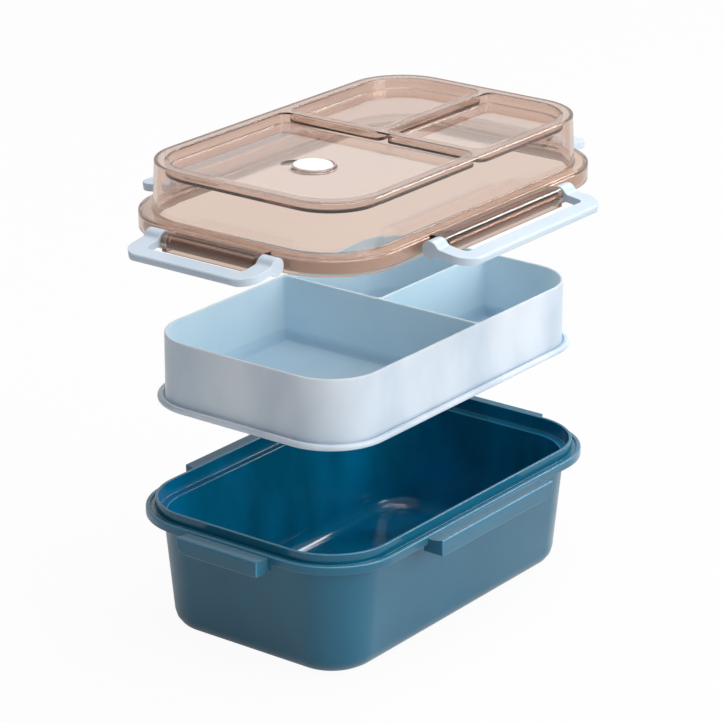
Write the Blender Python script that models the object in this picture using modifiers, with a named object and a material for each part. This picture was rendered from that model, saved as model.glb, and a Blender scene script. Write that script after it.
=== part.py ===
"""Bento lunch box in its opened-out layout: outer box, tray, clear lid and four side latches.

Units are metres and +Z is up. The long sides face -Y (front) and +Y (back), the short ends
face -X (left) and +X (right), and z = 0 is the underside of the outer box.
"""
import math

import bmesh
import bpy
from mathutils import Matrix, Vector

MM = 0.001

# Overall outline of the rims, shared by the outer box and the lid
HALF_LENGTH = 115.0 * MM
HALF_WIDTH = 73.8 * MM
CORNER_RADIUS = 39.0 * MM
CORNER_STEPS = 8

# Clearances
FIT_GAP = 0.3 * MM
SLIDE_GAP = 0.6 * MM

# Outer box
BOX_RIM_HEIGHT = 65.5 * MM
BOX_WALL = 2.0 * MM
BOX_WALL_INSET = 9.0 * MM
BOX_DRAFT = 4.4 * MM
BOX_EDGE_RADIUS = 13.0 * MM
FOOT_RECESS = 1.2 * MM
FOOT_WIDTH = 6.0 * MM
FOOT_PANEL_INSET = 3.0 * MM
BOX_EDGE = 0.7 * MM
RIM_SKIRT = 4.4 * MM
RIM_THICK = 2.4 * MM
LIP_INSET = 4.6 * MM
LIP_THICK = 2.0 * MM
LIP_HEIGHT = 4.4 * MM
LEDGE_DROP = 3.4 * MM
LUG_REACH = 9.0 * MM
LUG_HEIGHT = 8.6 * MM
LUG_HALF_LONG = 48.5 * MM
LUG_HALF_SHORT = 25.5 * MM
LUG_CORNER = 3.0 * MM
LUG_STEP = 0.1 * MM

# Tray
TRAY_HEIGHT = 35.6 * MM
TRAY_WALL = 1.4 * MM
TRAY_FLOOR = 1.6 * MM
TRAY_FLANGE_THICK = 3.2 * MM
TRAY_PLUG = 1.2 * MM
TRAY_WALL_INSET = 11.3 * MM
TRAY_FILLET = 5.0 * MM
TRAY_DRAFT = 0.4 * MM
TRAY_EDGE = 0.5 * MM
DIVIDER_X = 9.5 * MM
DIVIDER_THICK = 1.5 * MM
DIVIDER_DROP = 0.5 * MM

# Lid
LID_HEIGHT = 34.2 * MM
LID_WALL = 1.7 * MM
LID_ROOF = 1.5 * MM
LID_SKIRT = 9.5 * MM
LID_SKIRT_WALL = 2.1 * MM
DOME_INSET = 7.2 * MM
DOME_DRAFT = 1.0 * MM
GROOVE_TOP = 7.6 * MM
INNER_RIB_FOOT = 3.4 * MM
RING_WIDTH = 6.6 * MM
RIB_WIDTH = 5.6 * MM
RIB_WALL = 1.4 * MM
PANEL_DEPTH = 6.2 * MM
PANEL_THICK = 1.8 * MM
PANEL_CORNER = 4.5 * MM
LID_EDGE = 0.8 * MM
SEAL_EDGE = 0.6 * MM

# Steam valve in the large panel
VALVE_X = -45.0 * MM
VALVE_RADIUS = 10.0 * MM
VALVE_THICK = 2.0 * MM
VALVE_STEM_RADIUS = 3.2 * MM
VALVE_EDGE = 0.5 * MM
VALVE_STEPS = 32
BOSS_WALL = 1.4 * MM
BOSS_HEIGHT = 1.6 * MM
NAIL_RADIUS = 7.0 * MM
NAIL_OFFSET = 11.0 * MM
NAIL_DEPTH = 0.7 * MM
NAIL_ANGLE = math.radians(138.0)

# Hinge barrels on the lid and the latches that turn on them
AXIS_REACH = 7.0 * MM
AXIS_HEIGHT = 5.3 * MM
BARREL_RADIUS = 4.2 * MM
BARREL_HALF_LONG = 49.6 * MM
BARREL_HALF_SHORT = 29.6 * MM
BARREL_FOOT = 1.4 * MM
BARREL_WALL = 1.5 * MM
BARREL_END = 2.6 * MM
PIN_RADIUS = 1.7 * MM
PIN_LENGTH = 2.4 * MM
KNUCKLE_RADIUS = 4.6 * MM
KNUCKLE_LENGTH = 9.2 * MM
LATCH_THICK = 5.0 * MM
LATCH_BAR = 8.4 * MM
LATCH_CORNER = 11.0 * MM
LATCH_EDGE = 1.0 * MM
WINDOW_CORNER = 4.0 * MM
LATCH_OPEN = math.radians(-8.0)

# Heights of the tray and the lid in the opened-out layout
TRAY_REST = 122.5 * MM
LID_REST = 213.1 * MM

# Sizes that follow from the ones above
LEDGE_HEIGHT = BOX_RIM_HEIGHT - LEDGE_DROP
LIP_TOP = BOX_RIM_HEIGHT + LIP_HEIGHT
TRAY_FLANGE_INSET = LIP_INSET + LIP_THICK + SLIDE_GAP
BOX_MOUTH_INSET = BOX_WALL_INSET + BOX_WALL
DOME_TOP_INSET = DOME_INSET + DOME_DRAFT
PANEL_INSET = DOME_TOP_INSET + RING_WIDTH
PANEL_TOP = LID_HEIGHT - PANEL_DEPTH
PANEL_UNDER = PANEL_TOP - PANEL_THICK
HOOK_REACH = AXIS_HEIGHT + FIT_GAP + LUG_HEIGHT + 2 * FIT_GAP
LATCH_REACH = HOOK_REACH + LATCH_BAR
SIDES = {
    "front": (0, HALF_WIDTH, BARREL_HALF_LONG, LUG_HALF_LONG),
    "right": (90, HALF_LENGTH, BARREL_HALF_SHORT, LUG_HALF_SHORT),
    "back": (180, HALF_WIDTH, BARREL_HALF_LONG, LUG_HALF_LONG),
    "left": (270, HALF_LENGTH, BARREL_HALF_SHORT, LUG_HALF_SHORT),
}

COLOURS = {
    "outer_box": ((0.006, 0.075, 0.125, 1.0), 0.32),
    "tray": ((0.50, 0.68, 0.82, 1.0), 0.42),
    "lid_shell": ((0.62, 0.40, 0.30, 1.0), 0.10),
    "lid_gasket": ((0.75, 0.72, 0.70, 1.0), 0.55),
    "valve_stopper": ((0.86, 0.85, 0.84, 1.0), 0.50),
    "latch": ((0.58, 0.70, 0.83, 1.0), 0.40),
}


def arc(centre, radius, start, end, steps):
    """Points on an arc in the plane, from start to end in degrees."""
    turns = [math.radians(start + (end - start) * i / steps) for i in range(steps + 1)]
    return [(centre[0] + radius * math.cos(t), centre[1] + radius * math.sin(t)) for t in turns]


def rounded_box(x0, x1, y0, y1, radii, steps=CORNER_STEPS):
    """Rounded rectangle; radii are for the corners (+x+y, -x+y, -x-y, +x-y)."""
    corners = ((x1, y1, -1, -1), (x0, y1, 1, -1), (x0, y0, 1, 1), (x1, y0, -1, 1))
    points = []
    for i, (x, y, sx, sy) in enumerate(corners):
        r = radii[i]
        points += arc((x + sx * r, y + sy * r), r, 90 * i, 90 * i + 90, steps)
    return points


def rim_outline(inset):
    """The shared rim outline, moved inwards."""
    x = HALF_LENGTH - inset
    y = HALF_WIDTH - inset
    return rounded_box(-x, x, -y, y, [CORNER_RADIUS - inset] * 4)


def stack(sections):
    """Rings at (inset, height) pairs round the shared rim outline."""
    return [[Vector((x, y, z)) for x, y in rim_outline(inset)] for inset, z in sections]


def level(points, z):
    """One ring at one height."""
    return [Vector((x, y, z)) for x, y in points]


def loft(mesh, rings, cyclic=False):
    """Skin rings of equal length into one closed body, capped unless it closes on itself."""
    loops = [[mesh.verts.new(p) for p in ring] for ring in rings]
    faces = []
    pairs = list(zip(loops, loops[1:]))
    if cyclic:
        pairs.append((loops[-1], loops[0]))
    else:
        faces += [mesh.faces.new(loops[0]), mesh.faces.new(loops[-1])]
    for low, high in pairs:
        for i in range(len(low)):
            j = (i + 1) % len(low)
            faces.append(mesh.faces.new((low[i], low[j], high[j], high[i])))
    bmesh.ops.recalc_face_normals(mesh, faces=faces)


def cylinder(mesh, radius, base, top, steps=24):
    """Closed cylinder between two points."""
    axis = Vector(top) - Vector(base)
    turn = axis.to_track_quat("Z", "Y").to_matrix().to_4x4()
    place = Matrix.Translation((Vector(top) + Vector(base)) / 2) @ turn
    bmesh.ops.create_cone(mesh, cap_ends=True, segments=steps, radius1=radius, radius2=radius,
                          depth=axis.length, matrix=place)


def box(mesh, x0, x1, y0, y1, z0, z1):
    """Closed cuboid between two corners."""
    loft(mesh, [level([(x0, y0), (x1, y0), (x1, y1), (x0, y1)], z) for z in (z0, z1)])


def bar(mesh, side, profile, half):
    """Prism along one side from a profile of (distance out from the rim, height) points."""
    turn, rim = SIDES[side][:2]
    spin = Matrix.Rotation(math.radians(turn), 4, "Z")
    loft(mesh, [[spin @ Vector((u, -rim - out, z)) for out, z in profile] for u in (-half, half)])


def new_object(name, mesh, group, z=0.0):
    """Object made from the edit mesh, with its origin at the height given."""
    data = bpy.data.meshes.new(name)
    mesh.to_mesh(data)
    mesh.free()
    obj = bpy.data.objects.new(name, data)
    obj.location.z = z
    group.objects.link(obj)
    return obj


def tool(name, mesh, z=0.0):
    """Shape that only joins or cuts other shapes."""
    obj = new_object(name, mesh, CUTTERS, z)
    obj.hide_render = True
    obj.display_type = "WIRE"
    return obj


def combine(obj, other, operation):
    """Exact Boolean between a piece and a tool."""
    modifier = obj.modifiers.new(other.name, "BOOLEAN")
    modifier.operation = operation
    modifier.solver = "EXACT"
    modifier.object = other


def paint(obj, key):
    """Plain plastic in the colour of the piece."""
    colour, roughness = COLOURS[key]
    material = bpy.data.materials.new(obj.name)
    material.use_nodes = True
    shader = material.node_tree.nodes["Principled BSDF"]
    shader.inputs["Base Color"].default_value = colour
    shader.inputs["Roughness"].default_value = roughness
    shader.inputs["Metallic"].default_value = 0.0
    material.diffuse_color = colour
    obj.data.materials.append(material)


def make_outer_box():
    """Drafted tub with a foot ring, a skirted rim, an upright lip, a tray ledge and four lugs."""
    side_inset = BOX_WALL_INSET + BOX_DRAFT
    centre_inset = side_inset + BOX_EDGE_RADIUS
    inner_radius = BOX_EDGE_RADIUS - BOX_WALL
    step_inset = centre_inset + FOOT_WIDTH
    rim = BOX_RIM_HEIGHT
    edge = BOX_EDGE
    lip_in = LIP_INSET + LIP_THICK
    sections = [(step_inset + FOOT_PANEL_INSET, FOOT_RECESS), (step_inset + FOOT_RECESS, FOOT_RECESS)]
    sections += [(step_inset, 0.0)]
    sections += arc((centre_inset, BOX_EDGE_RADIUS), BOX_EDGE_RADIUS, 270, 180, 5)
    sections += [
        (BOX_WALL_INSET, rim - RIM_THICK - LEDGE_DROP),
        (LIP_INSET, rim - RIM_THICK - LEDGE_DROP),
        (LIP_INSET - BOX_WALL / 2, rim - RIM_THICK),
        (LID_SKIRT_WALL, rim - RIM_THICK),
        (LID_SKIRT_WALL, rim - RIM_SKIRT),
        (edge, rim - RIM_SKIRT),
        (0.0, rim - RIM_SKIRT + edge),
        (0.0, rim - edge),
        (edge, rim),
        (LIP_INSET, rim),
        (LIP_INSET, LIP_TOP - edge),
        (LIP_INSET + edge, LIP_TOP),
        (lip_in - edge, LIP_TOP),
        (lip_in, LIP_TOP - edge),
        (lip_in, LEDGE_HEIGHT),
        (BOX_MOUTH_INSET - FIT_GAP, LEDGE_HEIGHT),
        (BOX_MOUTH_INSET, LEDGE_HEIGHT - FIT_GAP),
    ]
    sections += arc((centre_inset, BOX_EDGE_RADIUS), inner_radius, 180, 270, 5)
    floor = BOX_WALL + FOOT_RECESS
    sections += [(step_inset, BOX_WALL), (step_inset + FOOT_RECESS, floor)]
    mesh = bmesh.new()
    loft(mesh, stack(sections))
    obj = new_object("outer_box", mesh, PARTS)

    # Under the rim each lug runs back into the wall, and stays below the ledge that the tray sits on
    lugs = bmesh.new()
    top = rim - FIT_GAP
    low = top - LUG_HEIGHT
    under = LEDGE_HEIGHT - RIM_THICK / 2
    root = BOX_WALL_INSET + BOX_WALL / 2
    step = LIP_INSET - edge
    for turn, reach, _, half in SIDES.values():
        spin = Matrix.Rotation(math.radians(turn), 4, "Z")
        rings = []
        for out, height in ((-root, under), (-step - LUG_STEP, under), (-step, top), (LUG_REACH, top)):
            face = arc((-half + LUG_CORNER, low + LUG_CORNER), LUG_CORNER, 180, 270, 3)
            face += arc((half - LUG_CORNER, low + LUG_CORNER), LUG_CORNER, 270, 360, 3)
            face += [(half, height), (-half, height)]
            rings.append([spin @ Vector((u, -reach - out, z)) for u, z in face])
        loft(lugs, rings)
    combine(obj, tool("lug_blocks", lugs), "UNION")
    return obj


def make_tray():
    """Open tray with a seating flange at its foot and a T of dividers."""
    wall = TRAY_WALL_INSET
    foot = wall - TRAY_DRAFT
    inner = wall + TRAY_WALL
    floor_inset = inner + TRAY_FILLET
    edge = TRAY_EDGE
    plug = BOX_MOUTH_INSET + SLIDE_GAP
    sections = [
        (plug + TRAY_PLUG, -TRAY_PLUG),
        (plug, 0.0),
        (TRAY_FLANGE_INSET + 2 * edge, 0.0),
        (TRAY_FLANGE_INSET, 2 * edge),
        (TRAY_FLANGE_INSET, TRAY_FLANGE_THICK - edge),
        (TRAY_FLANGE_INSET + edge, TRAY_FLANGE_THICK),
        (foot - edge, TRAY_FLANGE_THICK - 2 * edge),
        (foot, TRAY_FLANGE_THICK),
        (wall, TRAY_HEIGHT - edge),
        (wall + edge, TRAY_HEIGHT),
        (inner - edge, TRAY_HEIGHT),
        (inner, TRAY_HEIGHT - edge),
    ]
    sections += arc((floor_inset, TRAY_FLOOR + TRAY_FILLET), TRAY_FILLET, 180, 270, 4)
    mesh = bmesh.new()
    loft(mesh, stack(sections))
    obj = new_object("tray", mesh, PARTS, TRAY_REST)

    walls = bmesh.new()
    half = DIVIDER_THICK / 2
    end_y = HALF_WIDTH - wall - TRAY_WALL / 2
    end_x = HALF_LENGTH - wall - TRAY_WALL / 2
    low = TRAY_FLOOR / 2
    top = TRAY_HEIGHT - DIVIDER_DROP
    tee = [(DIVIDER_X - half, -end_y), (DIVIDER_X + half, -end_y), (DIVIDER_X + half, -half),
           (end_x, -half), (end_x, half), (DIVIDER_X + half, half),
           (DIVIDER_X + half, end_y), (DIVIDER_X - half, end_y)]
    loft(walls, [level(tee, z) for z in (low, top)])
    combine(obj, tool("tray_dividers", walls, TRAY_REST), "UNION")
    return obj


def panel_outlines(grow):
    """Outlines of the three recessed panels, grown outwards by a wall."""
    x = HALF_LENGTH - PANEL_INSET + grow
    y = HALF_WIDTH - PANEL_INSET + grow
    gap = RIB_WIDTH / 2 - grow
    big = CORNER_RADIUS - PANEL_INSET + grow
    small = PANEL_CORNER + grow
    yield rounded_box(-x, DIVIDER_X - gap, -y, y, (small, big, big, small))
    yield rounded_box(DIVIDER_X + gap, x, gap, y, (big, small, small, small))
    yield rounded_box(DIVIDER_X + gap, x, -y, -gap, (small, small, small, big))


def barrel_profile(shrink, foot):
    """D section of a hinge barrel, as (distance out, height) points."""
    radius = BARREL_RADIUS - shrink
    root = -LID_SKIRT_WALL / 2 if shrink == 0 else shrink
    return [(root, foot), (root, AXIS_HEIGHT + radius)] + [
        (AXIS_REACH + a, AXIS_HEIGHT + b) for a, b in arc((0, 0), radius, 90, 0, 5)
    ] + [(AXIS_REACH + radius, foot)]


def make_lid_shell():
    """Thin clear dome with a skirt, a seal groove, three sunk panels and four hinge barrels."""
    edge = LID_EDGE
    roof = LID_HEIGHT - LID_ROOF
    top_in = DOME_TOP_INSET + LID_WALL
    foot_in = DOME_INSET + LID_WALL
    sections = [
        (top_in + edge, roof),
        (top_in, roof - edge),
        (foot_in, LID_SKIRT),
        (foot_in, INNER_RIB_FOOT),
        (DOME_INSET, INNER_RIB_FOOT),
        (DOME_INSET, GROOVE_TOP),
        (LID_SKIRT_WALL, GROOVE_TOP),
        (LID_SKIRT_WALL, 0.0),
        (edge, 0.0),
        (0.0, edge),
        (0.0, LID_SKIRT - edge),
        (edge, LID_SKIRT),
        (DOME_INSET - edge, LID_SKIRT),
        (DOME_INSET, LID_SKIRT + edge),
        (DOME_TOP_INSET, LID_HEIGHT - 2 * edge),
        (DOME_TOP_INSET + edge / 2, LID_HEIGHT - edge / 2),
        (DOME_TOP_INSET + 2 * edge, LID_HEIGHT),
    ]
    mesh = bmesh.new()
    loft(mesh, stack(sections))
    obj = new_object("lid_shell", mesh, PARTS, LID_REST)

    cups = bmesh.new()
    for outline in panel_outlines(RIB_WALL):
        loft(cups, [level(outline, z) for z in (PANEL_UNDER, LID_HEIGHT - LID_ROOF / 2)])
    for side, (_, _, half, _) in SIDES.items():
        bar(cups, side, barrel_profile(0.0, BARREL_FOOT), half)
    combine(obj, tool("lid_blocks", cups, LID_REST), "UNION")

    boss = bmesh.new()
    cylinder(boss, VALVE_RADIUS + FIT_GAP + BOSS_WALL, (VALVE_X, 0, PANEL_UNDER + RIB_WALL / 2),
             (VALVE_X, 0, PANEL_TOP + BOSS_HEIGHT), 32)

    hollows = bmesh.new()
    for outline in panel_outlines(0.0):
        loft(hollows, [level(outline, z) for z in (PANEL_TOP, LID_HEIGHT + RIB_WALL)])
    for side, (_, _, half, _) in SIDES.items():
        bar(hollows, side, barrel_profile(BARREL_WALL, -BARREL_FOOT), half - BARREL_END)
    combine(obj, tool("lid_hollows", hollows, LID_REST), "DIFFERENCE")
    combine(obj, tool("valve_boss", boss, LID_REST), "UNION")

    holes = bmesh.new()
    seat = PANEL_TOP + BOSS_HEIGHT - VALVE_THICK
    cylinder(holes, VALVE_RADIUS + FIT_GAP, (VALVE_X, 0, seat),
             (VALVE_X, 0, PANEL_TOP + 2 * BOSS_HEIGHT), 32)
    for side, (turn, rim, half, _) in SIDES.items():
        spin = Matrix.Rotation(math.radians(turn), 4, "Z")
        for end in (-1, 1):
            inner = spin @ Vector((end * (half - BARREL_END - FIT_GAP), -rim - AXIS_REACH, AXIS_HEIGHT))
            outer = spin @ Vector((end * (half + BARREL_END), -rim - AXIS_REACH, AXIS_HEIGHT))
            cylinder(holes, PIN_RADIUS + FIT_GAP, inner, outer, 16)
    combine(obj, tool("lid_bores", holes, LID_REST), "DIFFERENCE")

    vents = bmesh.new()
    cylinder(vents, VALVE_STEM_RADIUS + FIT_GAP, (VALVE_X, 0, PANEL_UNDER - PANEL_THICK),
             (VALVE_X, 0, PANEL_TOP + BOSS_HEIGHT), 20)
    nail_x = VALVE_X + NAIL_OFFSET * math.cos(NAIL_ANGLE)
    nail_y = NAIL_OFFSET * math.sin(NAIL_ANGLE)
    cylinder(vents, NAIL_RADIUS, (nail_x, nail_y, PANEL_TOP - NAIL_DEPTH),
             (nail_x, nail_y, PANEL_TOP + 2 * BOSS_HEIGHT), 24)
    combine(obj, tool("valve_vent", vents, LID_REST), "DIFFERENCE")
    return obj


def make_lid_gasket():
    """Seal ring that sits in the groove above the lip of the outer box."""
    outer = LID_SKIRT_WALL + FIT_GAP
    inner = DOME_INSET - FIT_GAP
    low = LIP_HEIGHT + FIT_GAP / 2
    top = GROOVE_TOP - FIT_GAP
    round_edge = SEAL_EDGE
    sections = [(outer, low + round_edge), (outer, top), (inner, top), (inner, low + round_edge),
                (inner - round_edge, low), (outer + round_edge, low)]
    mesh = bmesh.new()
    loft(mesh, stack(sections), cyclic=True)
    return new_object("lid_gasket", mesh, PARTS, LID_REST)


def make_valve_stopper():
    """Soft disc with a stem that plugs the vent hole."""
    seat = PANEL_TOP + BOSS_HEIGHT - VALVE_THICK + FIT_GAP
    profile = [(VALVE_STEM_RADIUS, PANEL_UNDER - FIT_GAP - seat), (VALVE_STEM_RADIUS, 0.0),
               (VALVE_RADIUS, 0.0), (VALVE_RADIUS, VALVE_THICK - VALVE_EDGE),
               (VALVE_RADIUS - VALVE_EDGE, VALVE_THICK)]
    mesh = bmesh.new()
    loft(mesh, [level(arc((0, 0), r, 0, 360, VALVE_STEPS)[:-1], z) for r, z in profile])
    obj = new_object("valve_stopper", mesh, PARTS, LID_REST + seat)
    obj.location.x = VALVE_X
    return obj


def make_latch(side):
    """U-shaped latch frame with two knuckles and stub pins, turned to its open position."""
    turn, rim, half, _ = SIDES[side]
    inner = half + FIT_GAP
    outer = inner + KNUCKLE_LENGTH
    flat = LATCH_THICK / 2
    far = LATCH_REACH - LATCH_CORNER
    near = HOOK_REACH - WINDOW_CORNER
    frame = [(outer, 0.0)]
    frame += arc((outer - LATCH_CORNER, far), LATCH_CORNER, 0, 90, 6)
    frame += arc((LATCH_CORNER - outer, far), LATCH_CORNER, 90, 180, 6)
    frame += [(-outer, 0.0), (-inner, 0.0)]
    frame += arc((WINDOW_CORNER - inner, near), WINDOW_CORNER, 180, 90, 4)
    frame += arc((inner - WINDOW_CORNER, near), WINDOW_CORNER, 90, 0, 4)
    frame += [(inner, 0.0)]
    mesh = bmesh.new()
    loft(mesh, [level(frame, z) for z in (-flat, flat)])
    obj = new_object("latch_" + side, mesh, PARTS)

    knuckles = bmesh.new()
    for end in (-1, 1):
        start = inner + FIT_GAP / 2
        cylinder(knuckles, KNUCKLE_RADIUS, (end * start, 0, 0), (end * (outer + FIT_GAP), 0, 0), 24)
    round_ends = tool("knuckles_" + side, knuckles)
    pins = bmesh.new()
    for end in (-1, 1):
        middle = inner + KNUCKLE_LENGTH / 2
        cylinder(pins, PIN_RADIUS, (end * (inner - PIN_LENGTH), 0, 0), (end * middle, 0, 0), 16)
    stubs = tool("pins_" + side, pins)

    spin = Matrix.Rotation(math.radians(turn), 4, "Z")
    place = Matrix.Translation((0, -rim - AXIS_REACH, LID_REST + AXIS_HEIGHT))
    tilt = Matrix.Rotation(math.pi, 4, "Z") @ Matrix.Rotation(LATCH_OPEN, 4, "X")
    obj.matrix_world = spin @ place @ tilt
    for item in (round_ends, stubs):
        item.matrix_world = obj.matrix_world
    bevel = obj.modifiers.new("soft_edges", "BEVEL")
    bevel.width = LATCH_EDGE
    bevel.segments = 2
    bevel.limit_method = "ANGLE"
    bevel.angle_limit = math.radians(50)
    combine(obj, round_ends, "UNION")
    combine(obj, stubs, "UNION")
    return obj


for old in list(bpy.data.objects):
    bpy.data.objects.remove(old, do_unlink=True)

PARTS = bpy.data.collections.new("bento_lunch_box")
CUTTERS = bpy.data.collections.new("cutters")
for group in (PARTS, CUTTERS):
    bpy.context.scene.collection.children.link(group)

paint(make_outer_box(), "outer_box")
paint(make_tray(), "tray")
paint(make_lid_shell(), "lid_shell")
paint(make_lid_gasket(), "lid_gasket")
paint(make_valve_stopper(), "valve_stopper")
for name in SIDES:
    paint(make_latch(name), "latch")
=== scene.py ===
"""Dressed model of a bento lunch box, opened out in layers: outer box, divided tray, clear lid, latches."""

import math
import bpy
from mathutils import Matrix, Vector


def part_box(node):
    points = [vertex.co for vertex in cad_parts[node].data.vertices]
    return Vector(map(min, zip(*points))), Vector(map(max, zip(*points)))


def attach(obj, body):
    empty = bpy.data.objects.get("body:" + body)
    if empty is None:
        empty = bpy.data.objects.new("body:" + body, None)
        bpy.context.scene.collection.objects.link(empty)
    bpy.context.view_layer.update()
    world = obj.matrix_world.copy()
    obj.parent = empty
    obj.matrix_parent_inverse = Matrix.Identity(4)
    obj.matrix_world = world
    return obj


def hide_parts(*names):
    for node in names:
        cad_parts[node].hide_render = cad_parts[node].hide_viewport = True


bl_info = {
    "name": "Bento Lunch Box",
    "version": (1, 0, 0),
    "blender": (4, 5, 0),
    "location": "3D View > Sidebar > Lunch Box",
    "description": "Builds the mouldings, seals, latches and studio of a bento lunch box",
    "category": "Add Mesh",
}

import bmesh
import bpy
from bpy.props import FloatProperty, FloatVectorProperty, IntProperty, PointerProperty
from mathutils import Matrix, Vector

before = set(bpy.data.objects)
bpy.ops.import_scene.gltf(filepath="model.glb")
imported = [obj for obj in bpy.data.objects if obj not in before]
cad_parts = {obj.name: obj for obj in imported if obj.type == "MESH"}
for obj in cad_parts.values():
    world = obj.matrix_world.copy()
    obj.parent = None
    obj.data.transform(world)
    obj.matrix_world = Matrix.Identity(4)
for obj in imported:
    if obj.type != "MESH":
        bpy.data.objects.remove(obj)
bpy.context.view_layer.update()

MM = 0.001
CELL_STEPS = 19
BOX_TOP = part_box("outer_box")[1][2]
TRAY_LOW, TRAY_HIGH = (corner[2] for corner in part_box("tray"))
LID_LOW, LID_HIGH = (corner[2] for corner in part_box("lid_shell"))
VALVE_LOW, VALVE_HIGH = (Vector(corner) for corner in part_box("valve_stopper"))
VALVE_MIDDLE = (VALVE_LOW + VALVE_HIGH) / 2
VALVE_RADIUS = (VALVE_HIGH.x - VALVE_LOW.x) / 2
SIDE_TURNS = {"front": 0, "right": 90, "back": 180, "left": 270}
MIX_FROM, MIX_TO, MIX_RESULT = 6, 7, 2  # places of the colour sockets on a Mix node


def srgb(code):
    """Linear RGB from an sRGB hex code."""
    values = [int(code[i:i + 2], 16) / 255 for i in (1, 3, 5)]
    return tuple(v / 12.92 if v <= 0.04045 else ((v + 0.055) / 1.055) ** 2.4 for v in values)


def colour(name, description, code):
    """Colour property from an sRGB hex code."""
    return FloatVectorProperty(name=name, description=description, default=srgb(code), size=3,
                               subtype="COLOR", min=0.0, max=1.0)


def number(name, description, default, **options):
    """Number property; the options give its unit, its kind or its limits."""
    return FloatProperty(name=name, description=description, default=default, **options)


def length(name, description, default):
    """Length property in metres."""
    return number(name, description, default, min=0.0, unit="LENGTH", precision=5)


def angle(name, description, degrees):
    """Angle property from degrees."""
    return number(name, description, math.radians(degrees), subtype="ANGLE")


def power(name, description, watts):
    """Lamp power property in watts."""
    return number(name, description, watts, subtype="POWER")


class RimSizes(bpy.types.PropertyGroup):
    """Outline that the outer box, the tray and the lid share, and that their walls are set in from."""

    half_length: length("Half length", "Half the rim's length along X", 115.0 * MM)
    half_width: length("Half width", "Half the rim's width along Y", 73.8 * MM)
    corner: length("Corner radius", "Rim corner radius in plan", 39.0 * MM)
    corner_steps: IntProperty(name="Corner steps", description="Points round each corner", default=24, min=4)


class BoxSizes(bpy.types.PropertyGroup):
    """Outer box with its rim, lip, ledge and lugs."""

    lip: length("Lip height", "Upright lip above the rim", 4.4 * MM)
    ledge_drop: length("Ledge drop", "From the rim down to the tray's ledge", 3.4 * MM)
    skirt: length("Skirt", "Depth of the skirt round the rim", 4.4 * MM)
    wall: length("Wall", "Wall and floor thickness", 2.0 * MM)
    lug_reach: length("Lug reach", "How far a lug stands out from the rim", 9.0 * MM)
    lug_height: length("Lug height", "Height of a lug's face", 8.6 * MM)
    lug_half_long: length("Lug half length, long side", "Half the lug on a long side", 48.5 * MM)
    lug_half_short: length("Lug half length, short end", "Half the lug on a short end", 25.5 * MM)


class TraySizes(bpy.types.PropertyGroup):
    """Tray with its flange and dividers."""

    wall_inset: length("Wall inset", "Outer face of the wall, in from the rim outline", 11.3 * MM)
    wall: length("Wall", "Wall thickness at the top edge", 1.4 * MM)
    floor: length("Floor", "Floor thickness", 1.6 * MM)
    plug: length("Plug", "Depth of the step under the flange", 1.2 * MM)
    fillet: length("Fillet", "Radius between floor and walls", 4.5 * MM)
    divider_x: length("Divider place", "Cross divider's place along X", 9.5 * MM)
    divider: length("Divider", "Divider thickness", 1.5 * MM)


class LidSizes(bpy.types.PropertyGroup):
    """Clear lid with its dome, sunk panels, valve seat and hinge barrels."""

    skirt: length("Skirt", "Height of the lid's skirt", 9.5 * MM)
    dome_inset: length("Dome inset", "Foot of the dome, in from the rim outline", 7.2 * MM)
    wall: length("Wall", "Wall thickness", 1.7 * MM)
    ring: length("Top ring", "Width of the raised ring round the top", 6.6 * MM)
    rib: length("Rib", "Width of the raised ribs between panels", 5.6 * MM)
    panel_depth: length("Panel depth", "From the ring down to the panels", 5.6 * MM)
    panel: length("Panel", "Panel thickness", 1.3 * MM)


class LatchSizes(bpy.types.PropertyGroup):
    """Hinge line and latch frames."""

    reach: length("Axis reach", "Hinge line, out from the rim", 7.0 * MM)
    height: length("Axis height", "Hinge line above the lid's lower edge", 5.3 * MM)
    barrel: length("Barrel radius", "Outer radius of a hinge barrel", 4.2 * MM)
    half_long: length("Barrel half length, long side", "Half a barrel on a long side", 49.6 * MM)
    half_short: length("Barrel half length, short end", "Half a barrel on a short end", 29.6 * MM)
    knuckle: length("Knuckle radius", "Radius of a latch's knuckles", 4.6 * MM)
    arm: length("Arm width", "Width of a latch's arms", 9.2 * MM)
    plate: length("Plate", "Thickness of a latch's frame", 4.0 * MM)
    hook: length("Hook reach", "Hinge line to the inner edge of the bar", 14.8 * MM)
    bar: length("Bar width", "Width of the bar that hooks under a lug", 8.4 * MM)
    tilt: angle("Open tilt", "How far an open latch droops below level", 8.0)


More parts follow.
